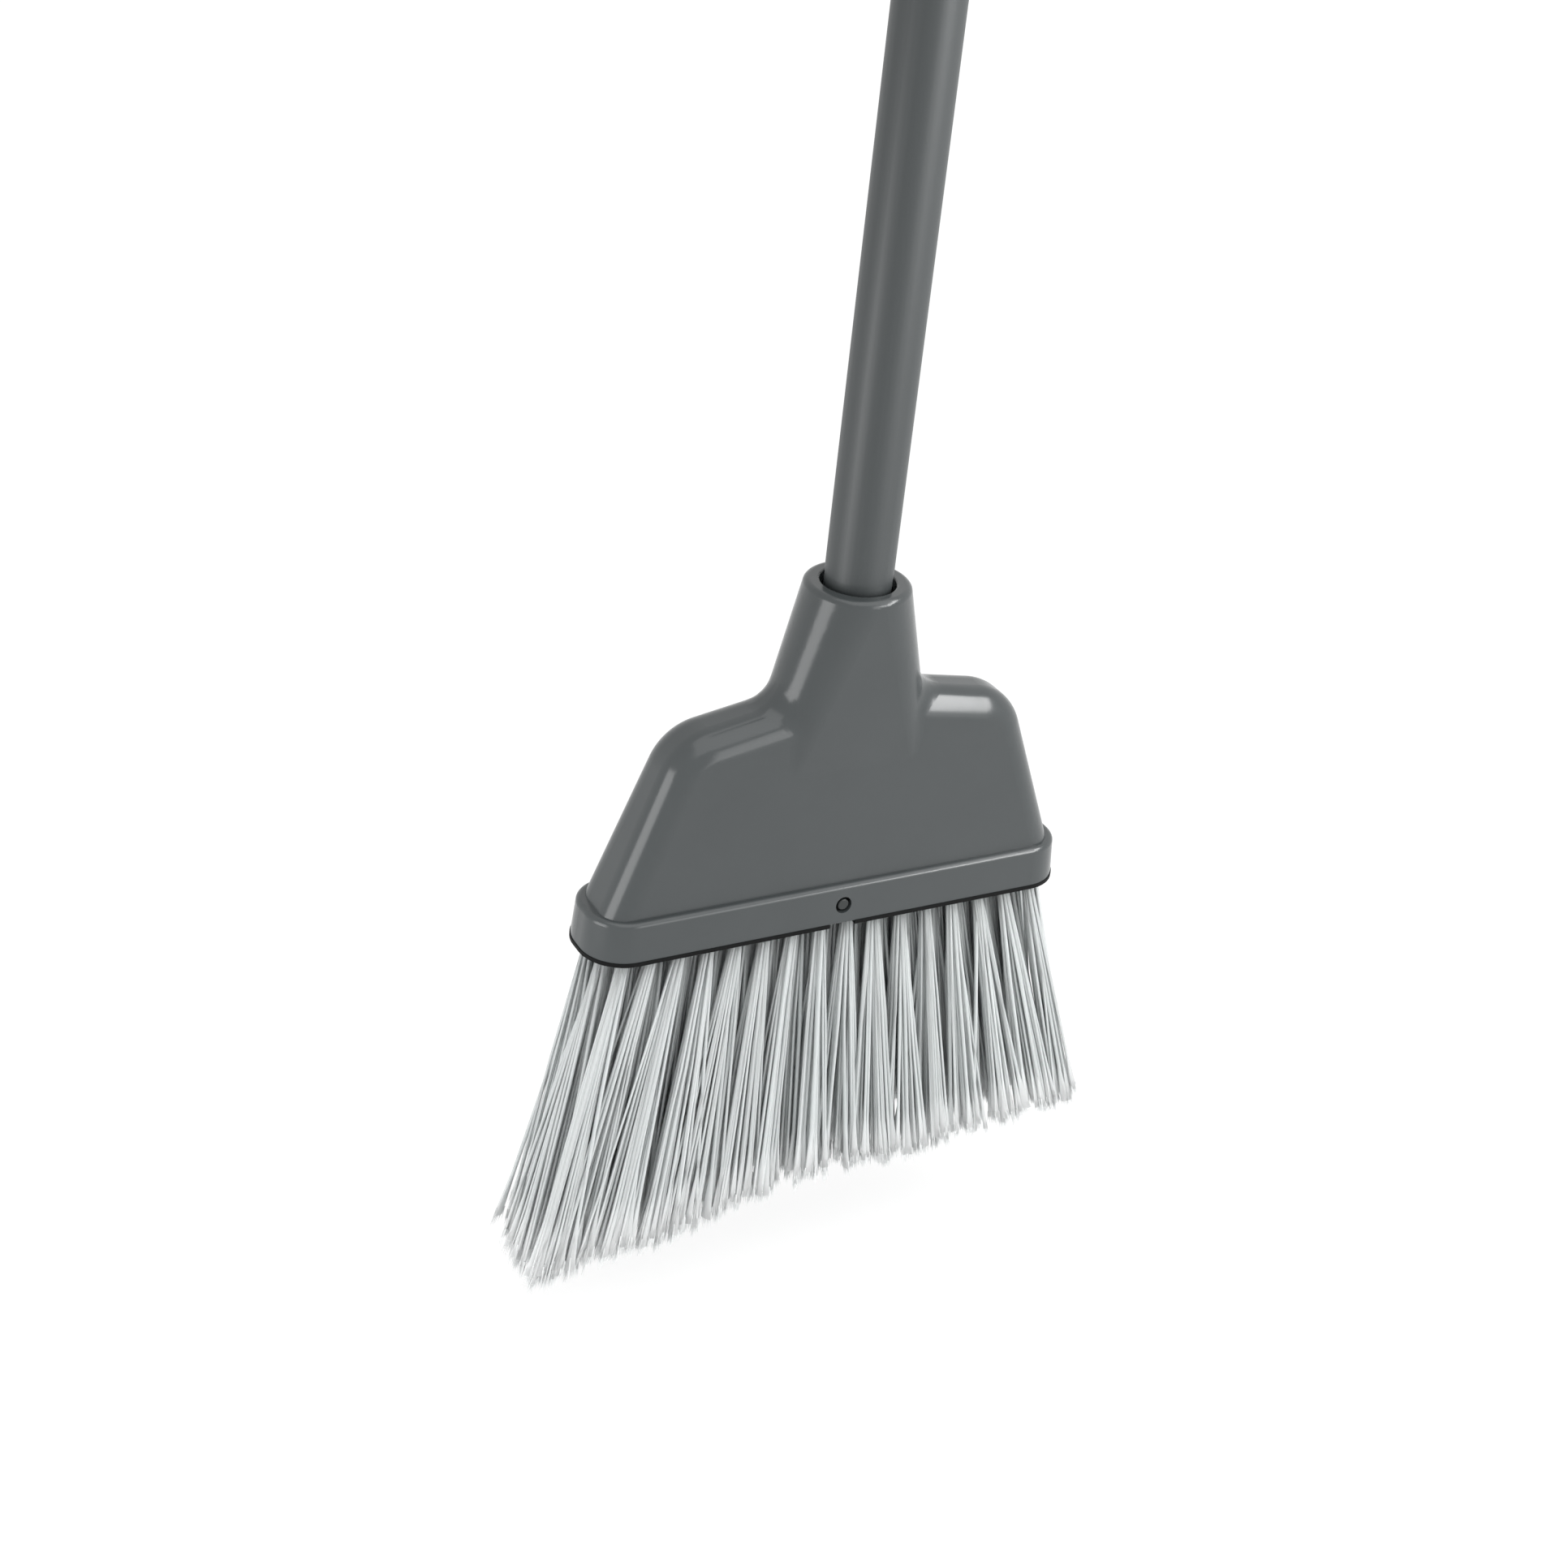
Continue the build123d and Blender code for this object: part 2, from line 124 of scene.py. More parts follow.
def linear(code: str) -> tuple[float, float, float, float]:
    """Turn an sRGB hex colour into linear light.

    Args:
        code: The colour as "#RRGGBB".

    Returns:
        Red, green, blue and a full alpha.
    """
    shares = [int(code[i:i + 2], 16) / 255 for i in (1, 3, 5)]
    lit = [s / 12.92 if s <= 0.04045 else ((s + 0.055) / 1.055) ** 2.4 for s in shares]
    return lit[0], lit[1], lit[2], 1.0


def add_node(
    tree: bpy.types.NodeTree, kind: str, settings: dict | None = None, links: dict | None = None
) -> bpy.types.Node:
    """Add one node with its settings and links.

    Args:
        tree: The node tree that gets the node.
        kind: The node's type.
        settings: Values by input name or number, or by property name.
        links: Output sockets by input name or number.

    Returns:
        The new node.
    """
    node = tree.nodes.new(kind)
    for key, value in (settings or {}).items():
        if isinstance(key, int) or key in node.inputs:
            node.inputs[key].default_value = value
        else:
            setattr(node, key, value)
    for key, socket in (links or {}).items():
        tree.links.new(socket, node.inputs[key])
    return node


def per_metre(size_mm: float) -> float:
    """The scale at which a noise pattern's features are of a size in millimetres."""
    return 1 / (size_mm * MM)


@dataclass(frozen=True)
class Finish:
    """What a surface is made of: a colour, a gloss and a pattern at a real scale.

    An ior of None keeps the shader's own, as a metal does.
    """

    name: str
    colour: str
    roughness: float
    ior: float | None = 1.49
    gloss: float = 0.5

    def start(self) -> tuple[bpy.types.Material, bpy.types.NodeTree, bpy.types.Node, bpy.types.NodeSocket]:
        """Begin the material.

        Returns:
            The material, its node tree, its shader and the object coordinates.
        """
        material = bpy.data.materials.new(self.name)
        material.use_nodes = True
        tree = material.node_tree
        tree.nodes.clear()
        settings = {"Roughness": self.roughness, "Specular IOR Level": self.gloss}
        if self.ior is not None:
            settings["IOR"] = self.ior
        shader = add_node(tree, "ShaderNodeBsdfPrincipled", settings)
        add_node(tree, "ShaderNodeOutputMaterial", links={"Surface": shader.outputs["BSDF"]})
        place = add_node(tree, "ShaderNodeTexCoord").outputs["Object"]
        return material, tree, shader, place

    def make(self) -> bpy.types.Material:
        """Make the material; each kind of finish has its own way."""
        raise NotImplementedError

    def material(self) -> bpy.types.Material:
        """The finish's material, which is made once."""
        return bpy.data.materials.get(self.name) or self.make()


@dataclass(frozen=True)
class MouldedPlastic(Finish):
    """Injection-moulded plastic: faint clouds in the colour, a fine tool grain and rubbed patches."""

    cloud_mm: float = 26.0
    cloud_colour: str = "#000000"
    grain_mm: float = 0.9
    grain_depth_mm: float = 0.006
    grain_strength: float = 0.6
    rub_mm: float = 7.0
    rub_spread: float = 0.05

    def make(self) -> bpy.types.Material:
        """Make the material.

        Returns:
            The finished material.
        """
        material, tree, shader, place = self.start()
        clouds = add_node(
            tree, "ShaderNodeTexNoise", {"Scale": per_metre(self.cloud_mm), "Detail": 3.0}, {"Vector": place}
        )
        colour = add_node(
            tree,
            "ShaderNodeMix",
            {"data_type": "RGBA", 6: linear(self.colour), 7: linear(self.cloud_colour)},
            {0: clouds.outputs["Fac"]},
        )
        rubs = add_node(
            tree, "ShaderNodeTexNoise", {"Scale": per_metre(self.rub_mm), "Detail": 4.0}, {"Vector": place}
        )
        gloss = add_node(
            tree,
            "ShaderNodeMapRange",
            {"To Min": self.roughness - self.rub_spread, "To Max": self.roughness + self.rub_spread},
            {"Value": rubs.outputs["Fac"]},
        )
        grain = add_node(
            tree, "ShaderNodeTexNoise", {"Scale": per_metre(self.grain_mm), "Detail": 2.0}, {"Vector": place}
        )
        bump = add_node(
            tree,
            "ShaderNodeBump",
            {"Strength": self.grain_strength, "Distance": self.grain_depth_mm * MM},
            {"Height": grain.outputs["Fac"]},
        )
        tree.links.new(colour.outputs[2], shader.inputs["Base Color"])
        tree.links.new(gloss.outputs["Result"], shader.inputs["Roughness"])
        tree.links.new(bump.outputs["Normal"], shader.inputs["Normal"])
        return material


@dataclass(frozen=True)
class DrawnSkin(Finish):
    """A skin drawn along the handle, of vinyl or steel: streaks lengthwise and a fine unevenness."""

    streak_colour: str = "#000000"
    streak_mm: float = 1.6
    streak_run_mm: float = 140.0
    streak_spread: float = 0.06
    peel_mm: float = 1.4
    peel_depth_mm: float = 0.008
    peel_strength: float = 0.5
    metallic: float = 0.0

    def make(self) -> bpy.types.Material:
        """Make the material.

        Returns:
            The finished material.
        """
        material, tree, shader, place = self.start()
        shader.inputs["Metallic"].default_value = self.metallic
        across, along = per_metre(self.streak_mm), per_metre(self.streak_run_mm)
        drawn = add_node(tree, "ShaderNodeMapping", {"Scale": (across, across, along)}, {"Vector": place})
        streaks = add_node(
            tree, "ShaderNodeTexNoise", {"Scale": 1.0, "Detail": 3.0}, {"Vector": drawn.outputs["Vector"]}
        )
        colour = add_node(
            tree,
            "ShaderNodeMix",
            {"data_type": "RGBA", 6: linear(self.colour), 7: linear(self.streak_colour)},
            {0: streaks.outputs["Fac"]},
        )
        gloss = add_node(
            tree,
            "ShaderNodeMapRange",
            {"To Min": self.roughness - self.streak_spread, "To Max": self.roughness + self.streak_spread},
            {"Value": streaks.outputs["Fac"]},
        )
        peel = add_node(
            tree, "ShaderNodeTexNoise", {"Scale": per_metre(self.peel_mm), "Detail": 2.0}, {"Vector": place}
        )
        bump = add_node(
            tree,
            "ShaderNodeBump",
            {"Strength": self.peel_strength, "Distance": self.peel_depth_mm * MM},
            {"Height": peel.outputs["Fac"]},
        )
        tree.links.new(colour.outputs[2], shader.inputs["Base Color"])
        tree.links.new(gloss.outputs["Result"], shader.inputs["Roughness"])
        tree.links.new(bump.outputs["Normal"], shader.inputs["Normal"])
        return material


@dataclass(frozen=True)
class FlaggedFibre(Finish):
    """Extruded filament with split ends: greyer at the root, which is painted shade where the filaments crowd
    into the block, and whiter where the fibre is split, partly its own paleness and partly painted light.

    The places along the filament run from 0 at the root to 1 at the tip.
    """

    # Painted shade at the root, where the filaments crowd into the block.
    root_shade_colour: str = "#BCC0C0"
    root_to: float = 0.22
    # The split ends' own paleness, raised further as painted light.
    tip_pale_and_painted_light_colour: str = "#E8EAEA"
    split_from: float = 0.78
    split_full: float = 0.93
    rib_mm: float = 0.5
    rib_run_mm: float = 30.0
    rib_spread: float = 0.1
    glow: float = 0.4
    glow_mm: float = 1.3

    def make(self) -> bpy.types.Material:
        """Make the material.

        Returns:
            The finished material.
        """
        material, tree, shader, place = self.start()
        along = add_node(tree, "ShaderNodeAttribute", {"attribute_name": "along"})
        ramp = add_node(tree, "ShaderNodeValToRGB", links={"Fac": along.outputs["Fac"]})
        # The ramp paints shade at the root and, with the split ends' own paleness, light at the tips.
        stops = ramp.color_ramp.elements
        stops[0].color = linear(self.root_shade_colour)
        stops[-1].color = linear(self.tip_pale_and_painted_light_colour)
        stops.new(self.root_to).color = linear(self.colour)
        stops.new(self.split_from).color = linear(self.colour)
        stops.new(self.split_full).color = linear(self.tip_pale_and_painted_light_colour)
        shade = add_node(tree, "ShaderNodeAttribute", {"attribute_name": "shade"})
        colour = add_node(
            tree,
            "ShaderNodeMix",
            {"data_type": "RGBA", "blend_type": "MULTIPLY", 0: 1.0},
            {6: ramp.outputs["Color"], 7: shade.outputs["Color"]},
        )
        across, run = per_metre(self.rib_mm), per_metre(self.rib_run_mm)
        drawn = add_node(tree, "ShaderNodeMapping", {"Scale": (across, across, run)}, {"Vector": place})
        ribs = add_node(
            tree, "ShaderNodeTexNoise", {"Scale": 1.0, "Detail": 1.0}, {"Vector": drawn.outputs["Vector"]}
        )
        gloss = add_node(
            tree,
            "ShaderNodeMapRange",
            {"To Min": self.roughness - self.rib_spread, "To Max": self.roughness + self.rib_spread},
            {"Value": ribs.outputs["Fac"]},
        )
        shader.inputs["Subsurface Weight"].default_value = self.glow
        shader.inputs["Subsurface Radius"].default_value = (1.0, 1.0, 1.0)
        shader.inputs["Subsurface Scale"].default_value = self.glow_mm * MM
        tree.links.new(colour.outputs[2], shader.inputs["Base Color"])
        tree.links.new(gloss.outputs["Result"], shader.inputs["Roughness"])
        return material


# Polypropylene from a polished tool: satin, even grey, with soft reflections of the lamps. The real grain
# is about a tenth of a millimetre and is drawn coarser, so that it shows.
CAP_PLASTIC = MouldedPlastic("moulded_grey_polypropylene", "#434748", 0.2, cloud_colour="#3E4243")
# Polypropylene with carbon black, drawn near-black and with its gloss turned low: the block's own black, and
# painted shade where its lip shows in the gap under the cap's band.
BLOCK_PLASTIC_AND_SHADE = MouldedPlastic(
    "black_polypropylene_and_painted_shade",
    "#0E0F0F",
    0.6,
    gloss=0.12,
    cloud_colour="#090A0A",
    grain_mm=1.2,
    grain_depth_mm=0.02,
)
# Polypropylene pin, cut from rod: darker and duller than the cap; its darker grey is partly its own and
# partly painted shade of the recess that it sits in.
PIN_PLASTIC_AND_SHADE = MouldedPlastic("cut_grey_polypropylene_and_painted_shade", "#262A2A", 0.45, cloud_colour="#1B1F1F", cloud_mm=2.0)
# Glass-filled nylon: black, with a dull skin.
TIP_PLASTIC = MouldedPlastic("moulded_black_nylon", "#1C1C1D", 0.42, 1.53, cloud_colour="#161617", rub_mm=4.0)
# Soft vinyl shrunk over the tube: satin, drawn lengthwise, with a slight orange peel. Its real streaks are
# a few tenths of a millimetre wide and are drawn coarser, so that they show.
SLEEVE_VINYL = DrawnSkin("shrunk_grey_vinyl", "#3E4243", 0.45, 1.53, streak_colour="#383C3D")
# Cold-rolled steel tube: bare, with rolling lines lengthwise, drawn coarser than the real ones.
TUBE_STEEL = DrawnSkin(
    "rolled_steel",
    "#B4B5B7",
    0.34,
    ior=None,
    streak_colour="#A2A3A6",
    streak_mm=0.6,
    peel_depth_mm=0.002,
    metallic=1.0,
)
# Drawn steel wire and rivets: bright, with drawing lines, which are drawn coarser than the real ones.
WIRE_STEEL = DrawnSkin(
    "drawn_steel_wire",
    "#C2C3C4",
    0.26,
    ior=None,
    streak_colour="#B2B3B5",
    streak_mm=0.4,
    peel_depth_mm=0.001,
    metallic=1.0,
)
# Extruded polyester filament with flagged ends: pale grey, slightly glossy along its length, greyer at the
# root as painted shade, and white at the split ends, partly their own paleness and partly painted light. Its
# ribs are drawn coarser than the real ones, as the filaments are.
BRISTLE_FIBRE = FlaggedFibre("flagged_polyester_filament", "#C4C8C8", 0.6, 1.57, 0.3)


def finished(mesh: bpy.types.Mesh, name: str, material: bpy.types.Material) -> bpy.types.Object:
    """Put a mesh into the scene as a piece at the origin.

    Args:
        mesh: The mesh, with its place in its vertices.
        name: The piece's name.
        material: The piece's finish.

    Returns:
        The piece.
    """
    mesh.materials.append(material)
    piece = bpy.data.objects.new(name, mesh)
    bpy.context.scene.collection.objects.link(piece)
    LOG.info("%s: %d faces, %s", name, len(mesh.polygons), material.name)
    return piece


def dress(finish: Finish, *nodes: str) -> None:
    """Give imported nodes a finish.

    Args:
        finish: The finish.
        nodes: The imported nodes' names.
    """
    for node in nodes:
        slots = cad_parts[node].data.materials
        slots.clear()
        slots.append(finish.material())
        LOG.info("%s: %s", node, finish.name)


@dataclass(frozen=True)
class Filament:
    """One flagged filament, drawn in several variants that are laid out many times.

    A variant stands along Z from 0 at the root to 1 at the tip, and its thickness is in metres. Its end is
    beaten flat and split, so that it widens into a fan with a ragged edge. Real filaments are finer and are
    drawn thicker, as they show in the photograph.
    """

    sides: int = 6
    width: float = 1.45 * MM
    widths: tuple[float, float] = (0.62, 1.2)
    bends: tuple[float, ...] = (0.0, 0.4, 0.8, 0.955)
    flare: float = 2.7
    flares: tuple[float, float] = (0.8, 1.2)
    splits: int = 9
    split_sides: int = 3
    split_from: float = 0.93
    split_wander: float = 0.01
    split_width: float = 0.8 * MM
    fan_drop: float = 0.006
    fan_ragged: float = 0.022
    fan_reach: float = 0.7 * MM
    fan_reaches: tuple[float, float] = (0.3, 1.2)
    fan_depth: float = 0.7 * MM
    fan_depths: float = 0.5
    variants: int = 16

    def shaft(self, bm: bmesh.types.BMesh, width: float, flare: float) -> None:
        """Draw the shaft as a closed tube with a flat, wide end.

        Args:
            bm: The mesh that gets it.
            width: The shaft's own width.
            flare: How many times wider its end is.
        """
        bmesh.ops.create_circle(bm, cap_ends=True, segments=self.sides, radius=width / 2)
        rim = list(bm.edges)
        for low, high in zip(self.bends, self.bends[1:]):
            grown = bmesh.ops.extrude_edge_only(bm, edges=rim)["geom"]
            corners = {part for part in grown if isinstance(part, bmesh.types.BMVert)}
            edges = [part for part in grown if isinstance(part, bmesh.types.BMEdge)]
            rim = [edge for edge in edges if set(edge.verts) <= corners]
            bmesh.ops.translate(bm, verts=list(corners), vec=(0, 0, high - low))
        bmesh.ops.contextual_create(bm, geom=rim)
        end = list({corner for edge in rim for corner in edge.verts})
        bmesh.ops.scale(bm, verts=end, vec=(flare, 1 / math.sqrt(flare), 1))

    def split(self, bm: bmesh.types.BMesh, rng: np.random.Generator, place: float, share: float) -> None:
        """Draw one of the split fibres, fanned out from the shaft's end.

        Args:
            bm: The mesh that gets it.
            rng: The source of chance.
            place: How far the fibre stands from the middle of the end.
            share: Where the fibre stands in the fan, from -1 to 1.
        """
        start = self.split_from + rng.uniform(-self.split_wander, self.split_wander)
        depth = 1 - start - abs(share) * self.fan_drop - rng.uniform(0, self.fan_ragged)
        reach_x = share * self.fan_reach * rng.uniform(*self.fan_reaches)
        reach_y = rng.normal(0, self.fan_depths) * self.fan_depth
        cone = bmesh.ops.create_cone(
            bm, cap_ends=True, segments=self.split_sides, radius1=self.split_width / 2, radius2=0, depth=depth
        )
        lean = Matrix.Identity(4)
        lean[0][2], lean[1][2] = reach_x / depth, reach_y / depth
        foot = Matrix.Translation((place, 0, start))
        raised = Matrix.Translation((0, 0, depth / 2))
        bmesh.ops.transform(bm, matrix=foot @ lean @ raised, verts=cone["verts"])

    def variant(self, rng: np.random.Generator) -> bpy.types.Mesh:
        """Draw one variant.

        Args:
            rng: The source of chance.

        Returns:
            The variant's mesh.
        """
        bm = bmesh.new()
        width = self.width * rng.uniform(*self.widths)
        flare = self.flare * rng.uniform(*self.flares)
        self.shaft(bm, width, flare)
        edge = width * flare / 2 - self.split_width / 2
        for share in np.linspace(-1, 1, self.splits):
            self.split(bm, rng, float(share) * edge, float(share))
        bmesh.ops.recalc_face_normals(bm, faces=list(bm.faces))
        # Only the shaft's sides have four corners, and only they are smooth.
        for face in bm.faces:
            face.smooth = len(face.verts) == 4
        mesh = bpy.data.meshes.new("filament_variant")
        bm.to_mesh(mesh)
        bm.free()
        return mesh

    def draw_all(self, rng: np.random.Generator) -> list[bpy.types.Mesh]:
        """Draw all variants."""
        return [self.variant(rng) for _ in range(self.variants)]


@dataclass
class Stance:
    """How one filament stands: where from, how it leans and bows, how long, how light and how turned."""

    root: np.ndarray
    lean: np.ndarray
    bow: np.ndarray
    length: float
    shade: float
    turn: float


@dataclass
class Bristles:
    """The rows of tufts: each tuft is a round bundle of flagged filaments that leans and spreads.

    The tips are cut on a slant, with a worn hollow near the middle. A lean is a share of the drop, and a
    field that ends in wander says how far chance takes a value from its middle.
    """

    pitch: float = 11.8 * MM
    outer_tufts: int = 16
    bundle_radius: float = 1.8 * MM
    strands: int = 26
    clumps: int = 3
    length: float = 121.0 * MM
    trim: float = math.tan(math.radians(6.87))
    hollow: float = 6.0 * MM
    hollow_x: float = -12.0 * MM
    hollow_width: float = 34.0 * MM
    margin: float = 3.2 * MM
    low_margin: float = 0.8 * MM
    spread: float = 4.1
    tuft_wander: float = 0.012
    clump_wander: float = 0.018
    strand_wander: float = 0.016
    stray_share: float = 0.2
    stray_wander: float = 0.055
    bow_wander: float = 0.7 * MM
    face_wander: float = 0.7
    root_wander: float = 0.15
    cut_wander: float = 0.9 * MM
    cut_limit: float = 1.8 * MM
    strand_cuts: tuple[float, float] = (-4.5 * MM, 1.0 * MM)
    tuft_shade_wander: float = 0.025
    strand_shade_wander: float = 0.05
    loose_row: Row = Row.REAR_MID
    loose_lean: tuple[float, float] = (-0.238, 0.03)
    sunk: float = 1.0 * MM
    filament: Filament = field(default_factory=Filament)
    root_z: float = field(init=False)

    def __post_init__(self) -> None:
        """Take the level of the block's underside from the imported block."""
        self.root_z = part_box("bristle_block")[0].z

    def tuft_centres(self, row: Row) -> list[Vector]:
        """Where a row's tufts stand.

        Args:
            row: The row.

        Returns:
            The tufts' centres on the block's underside, from left to right.
        """
        low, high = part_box(row.anchors)
        count = self.outer_tufts + int(row.staggered)
        y = (low.y + high.y) / 2
        return [Vector(((i - (count - 1) / 2) * self.pitch, y)) for i in range(count)]

    def cut_length(self, root: np.ndarray, lean: np.ndarray, cut: float) -> float:
        """How far down a filament reaches: to the slanted cut, less the worn hollow.

        Args:
            root: Where the filament comes out of the block.
            lean: How it leans.
            cut: How much longer it is than the cut.

        Returns:
            Its drop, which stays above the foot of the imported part.
        """
        reach = (self.length - self.trim * root[0]) / (1 + self.trim * lean[0])
        worn = (root[0] + lean[0] * reach - self.hollow_x) / self.hollow_width
        length = reach + cut - self.hollow * math.exp(-worn * worn)
        return min(length, self.root_z - CAD_BOX[0].z - self.low_margin)

    def lay_tuft(self, row: Row, centre: Vector, rng: np.random.Generator) -> list[Stance]:
        """Decide how each filament of a tuft stands.

        Args:
            row: The tuft's row.
            centre: The tuft's centre on the underside.
            rng: The source of chance.

        Returns:
            How each filament stands.
        """
        low, high = np.array(CAD_BOX[0])[:2] + self.margin, np.array(CAD_BOX[1])[:2] - self.margin
        end_x = (self.outer_tufts - 1) / 2 * self.pitch
        end_lean = row.left_lean if centre.x < 0 else row.right_lean
        lean = np.array([end_lean * centre.x / end_x, row.lean])
        lean = lean + rng.normal(0, self.tuft_wander, 2)
        clumps = rng.normal(0, self.clump_wander, (self.clumps, 2))
        tuft_cut = float(np.clip(rng.normal(0, self.cut_wander), -self.cut_limit, self.cut_limit))
        tuft_shade = 1 + rng.normal(0, self.tuft_shade_wander)
        laid = []
        for i in range(self.strands):
            radius = self.bundle_radius * math.sqrt((i + 0.5) / self.strands)
            turn = i * GOLDEN_TURN + rng.normal(0, self.root_wander)
            offset = radius * np.array([math.cos(turn), math.sin(turn)])
            root = np.array([centre.x, centre.y]) + offset
            wander = self.stray_wander if rng.random() < self.stray_share else self.strand_wander
            own = lean + clumps[int((turn % math.tau) / math.tau * self.clumps)]
            own = own + offset * (self.spread - 1) / self.length + rng.normal(0, wander, 2)
            length = self.cut_length(root, own, tuft_cut + rng.uniform(*self.strand_cuts))
            tip = np.clip(root + own * length, low, high)
            stance = Stance(
                root=root,
                lean=(tip - root) / length,
                bow=rng.normal(0, self.bow_wander, 2),
                length=length,
                shade=tuft_shade + rng.normal(0, self.strand_shade_wander),
                turn=rng.normal(0, self.face_wander),
            )
            laid.append(stance)
        if row is self.loose_row and centre.x < self.pitch / 2 - end_x:
            laid[0].lean = np.array(self.loose_lean)
        return laid

    def stand(self, shape: np.ndarray, laid: Stance) -> np.ndarray:
        """Bend a variant's corners to how a filament stands.

        Args:
            shape: The variant's corners.
            laid: How the filament stands.

        Returns:
            The corners in the part's frame.
        """
        along = shape[:, 2]
        bowed = 4 * along * (1 - along)
        cos, sin = math.cos(laid.turn), math.sin(laid.turn)
        placed = np.empty_like(shape)
        placed[:, 0] = shape[:, 0] * cos - shape[:, 1] * sin
        placed[:, 1] = shape[:, 0] * sin + shape[:, 1] * cos
        for axis in (0, 1):
            path = laid.root[axis] + laid.lean[axis] * laid.length * along
            placed[:, axis] += path + laid.bow[axis] * bowed
        placed[:, 2] = self.root_z + self.sunk - (laid.length + self.sunk) * along
        return placed

    def build_row(
        self, row: Row, variants: list[bpy.types.Mesh], material: bpy.types.Material, rng: np.random.Generator
    ) -> None:
        """Build a row of tufts as one piece, which stands for the row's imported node.

        Args:
            row: The row.
            variants: The filament's variants.
            material: The filament's finish.
            rng: The source of chance.
        """
        shapes = [np.array([corner.co for corner in mesh.vertices]) for mesh in variants]
        bm = bmesh.new()
        corners, along, shade = [], [], []
        for centre in self.tuft_centres(row):
            for laid in self.lay_tuft(row, centre, rng):
                pick = int(rng.integers(len(variants)))
                bm.from_mesh(variants[pick])
                corners.append(self.stand(shapes[pick], laid))
                along.append(shapes[pick][:, 2])
                shade.append(np.full(len(shapes[pick]), laid.shade))
        mesh = bpy.data.meshes.new(row.piece)
        bm.to_mesh(mesh)
        bm.free()
        mesh.vertices.foreach_set("co", np.concatenate(corners).astype(np.float32).ravel())
        for name, values in (("along", along), ("shade", shade)):
            layer = mesh.attributes.new(name, "FLOAT", "POINT")
            layer.data.foreach_set("value", np.concatenate(values).astype(np.float32))
        mesh.update()
        piece = finished(mesh, row.piece, material)
        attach(piece, Body.HEAD.value)
        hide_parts(row.node)

    def build(self) -> None:
        """Build all rows, from the front to the rear."""
        rng = np.random.default_rng(SEED)
        variants = self.filament.draw_all(rng)
        material = BRISTLE_FIBRE.material()
        for row in Row:
            self.build_row(row, variants, material, rng)
        for mesh in variants:
            bpy.data.meshes.remove(mesh)


@dataclass
class BrushHead:
    """The cap with its block, pins and bristles."""

    cap: str = "cap_shell"
    block: str = "bristle_block"
    pins: tuple[str, str] = ("lock_pin_front", "lock_pin_rear")
    bed_length: float = 197.2 * MM
    bed_depth: float = 29.6 * MM
    bed_corner: float = 12.4 * MM
    bed_thickness: float = 1.6 * MM
    bed_edge: float = 0.25 * MM
    corner_segments: int = 14
    edge_segments: int = 2
    bristles: Bristles = field(default_factory=Bristles)

    def build_bed(self) -> None:
        """Build the underside of the block that the tufts come out of."""
        bm = bmesh.new()
        bmesh.ops.create_cube(bm, size=1.0)
        bmesh.ops.scale(bm, verts=list(bm.verts), vec=(self.bed_length, self.bed_depth, self.bed_thickness))
        half = self.bed_thickness / 2
        upright = [edge for edge in bm.edges if abs(edge.verts[0].co.z - edge.verts[1].co.z) > half]
        bmesh.ops.bevel(
            bm,
            geom=upright,
            offset=self.bed_corner,
            segments=self.corner_segments,
            profile=0.5,
            affect="EDGES",
            material=-1,
        )
        under = [edge for edge in bm.edges if all(corner.co.z < 0 for corner in edge.verts)]
        bmesh.ops.bevel(
            bm,
            geom=under,
            offset=self.bed_edge,
            segments=self.edge_segments,
            profile=0.5,
            affect="EDGES",
            material=-1,
        )
        bmesh.ops.translate(bm, verts=list(bm.verts), vec=(0, 0, self.bristles.root_z + half))
        mesh = bpy.data.meshes.new("block_bed")
        bm.to_mesh(mesh)
        bm.free()
        piece = finished(mesh, "block_bed", BLOCK_PLASTIC_AND_SHADE.material())
        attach(piece, Body.HEAD.value)
        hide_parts(*[row.node for row in Row])

    def build(self) -> None:
        """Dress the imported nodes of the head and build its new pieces."""
        dress(CAP_PLASTIC, self.cap)
        dress(BLOCK_PLASTIC_AND_SHADE, self.block)
        dress(PIN_PLASTIC_AND_SHADE, *self.pins)
        dress(WIRE_STEEL, *[row.anchors for row in Row])
        self.build_bed()
        self.bristles.build()


@dataclass
class Handle:
    """The tube with its covering, its threaded tip and the swivelling cap at its top."""

    sleeve: str = "vinyl_sleeve"
    tube: str = "handle_tube"
    ends: tuple[str, str] = ("threaded_tip", "top_plug")
    rivets: str = "tip_rivets"
    hang_cap: str = "hang_cap"

    def build(self) -> None:
        """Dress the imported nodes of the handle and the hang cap."""
        dress(SLEEVE_VINYL, self.sleeve)
        dress(TUBE_STEEL, self.tube)
        dress(TIP_PLASTIC, *self.ends)
        dress(WIRE_STEEL, self.rivets)
        dress(CAP_PLASTIC, self.hang_cap)


class Lights(Enum):
    """What a lamp is for: all surfaces, reflections alone, or matt surfaces alone."""

    ALL = "all"
    GLOSS = "gloss"
    MATT = "matt"


